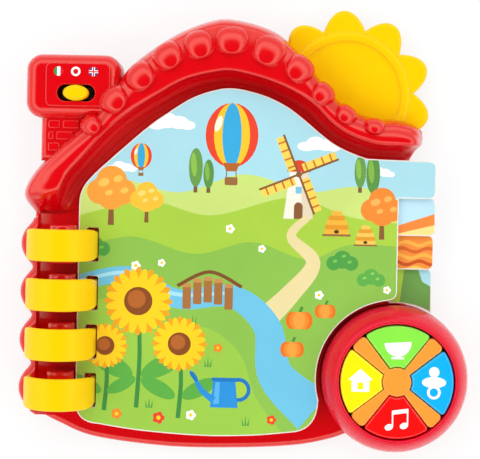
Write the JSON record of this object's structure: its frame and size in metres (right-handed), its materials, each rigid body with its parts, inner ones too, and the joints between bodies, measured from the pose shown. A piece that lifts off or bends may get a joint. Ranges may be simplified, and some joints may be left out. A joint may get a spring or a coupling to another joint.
{
  "type": "interactive talking board book",
  "caption": "Toddler's talking board book: printed leaves on arch rings in a moulded barn-shaped housing with a round push-button unit, a slide switch in the chimney and a sun.",
  "frame": {"origin": "under the middle of the whole part, on the surface it lies on", "axes": "+X to the right of the open face, away from the rings; +Y up the page towards the roof; +Z out of the face"},
  "size_m": [0.281, 0.2772, 0.0495],
  "materials": {
    "red_shell": "glossy moulded red",
    "crimson_shell": "glossy moulded crimson",
    "yellow_shell": "glossy moulded yellow",
    "orange_shell": "glossy moulded orange",
    "green_button": "glossy moulded lime green",
    "blue_button": "glossy moulded sky blue",
    "red_button": "glossy moulded red",
    "yellow_button": "glossy moulded lemon",
    "printed_board": "laminated board printed in flat colours, white cut edge",
    "silicone": "grey silicone rubber",
    "board": "green lacquered board",
    "black_plastic": "satin black",
    "cell_can": "printed steel can",
    "steel": "nickel-plated steel"
  },
  "bodies": {
    "housing": {"front_housing": "red_shell", "back_cover": "red_shell", "battery_door": "red_shell", "sun": "yellow_shell", "ring_1": "yellow_shell", "ring_2": "yellow_shell", "ring_3": "yellow_shell", "ring_4": "yellow_shell", "page_block": "printed_board", "unit_bezel": "crimson_shell", "dial_cross": "orange_shell", "slide_switch": "steel", "keypad_mat": "silicone", "circuit_board": "board", "speaker": "black_plastic", "battery_cell_1": "cell_can", "battery_cell_2": "cell_can", "battery_cell_3": "cell_can", "contact_springs": "steel", "contact_studs": "steel", "switch_lead": "black_plastic", "speaker_lead": "black_plastic", "back_screw_1": "steel", "back_screw_2": "steel", "back_screw_3": "steel", "back_screw_4": "steel", "back_screw_5": "steel", "back_screw_6": "steel", "door_screw": "steel"},
    "cover": {"cover_leaf": "printed_board"},
    "green_key": {"button_green": "green_button"},
    "blue_key": {"button_blue": "blue_button"},
    "red_key": {"button_red": "red_button"},
    "yellow_key": {"button_yellow": "yellow_button"},
    "knob": {"switch_knob": "yellow_shell"}
  },
  "joints": [
    {"name": "cover_turn", "type": "hinge", "parent": "housing", "child": "cover", "pos_m": [-0.1133, 0, 0.0279], "axis": [0, -1, 0], "range_deg": [0, 180]},
    {"name": "green_press", "type": "slide", "parent": "housing", "child": "green_key", "axis": [0, 0, -1], "range_m": [0, 0.002], "stiffness_N_per_m": 400},
    {"name": "blue_press", "type": "slide", "parent": "housing", "child": "blue_key", "axis": [0, 0, -1], "range_m": [0, 0.002], "stiffness_N_per_m": 400},
    {"name": "red_press", "type": "slide", "parent": "housing", "child": "red_key", "axis": [0, 0, -1], "range_m": [0, 0.002], "stiffness_N_per_m": 400},
    {"name": "yellow_press", "type": "slide", "parent": "housing", "child": "yellow_key", "axis": [0, 0, -1], "range_m": [0, 0.002], "stiffness_N_per_m": 400},
    {"name": "knob_slide", "type": "slide", "parent": "housing", "child": "knob", "axis": [1, 0, 0], "range_m": [-0.0035, 0.0035]}
  ]
}
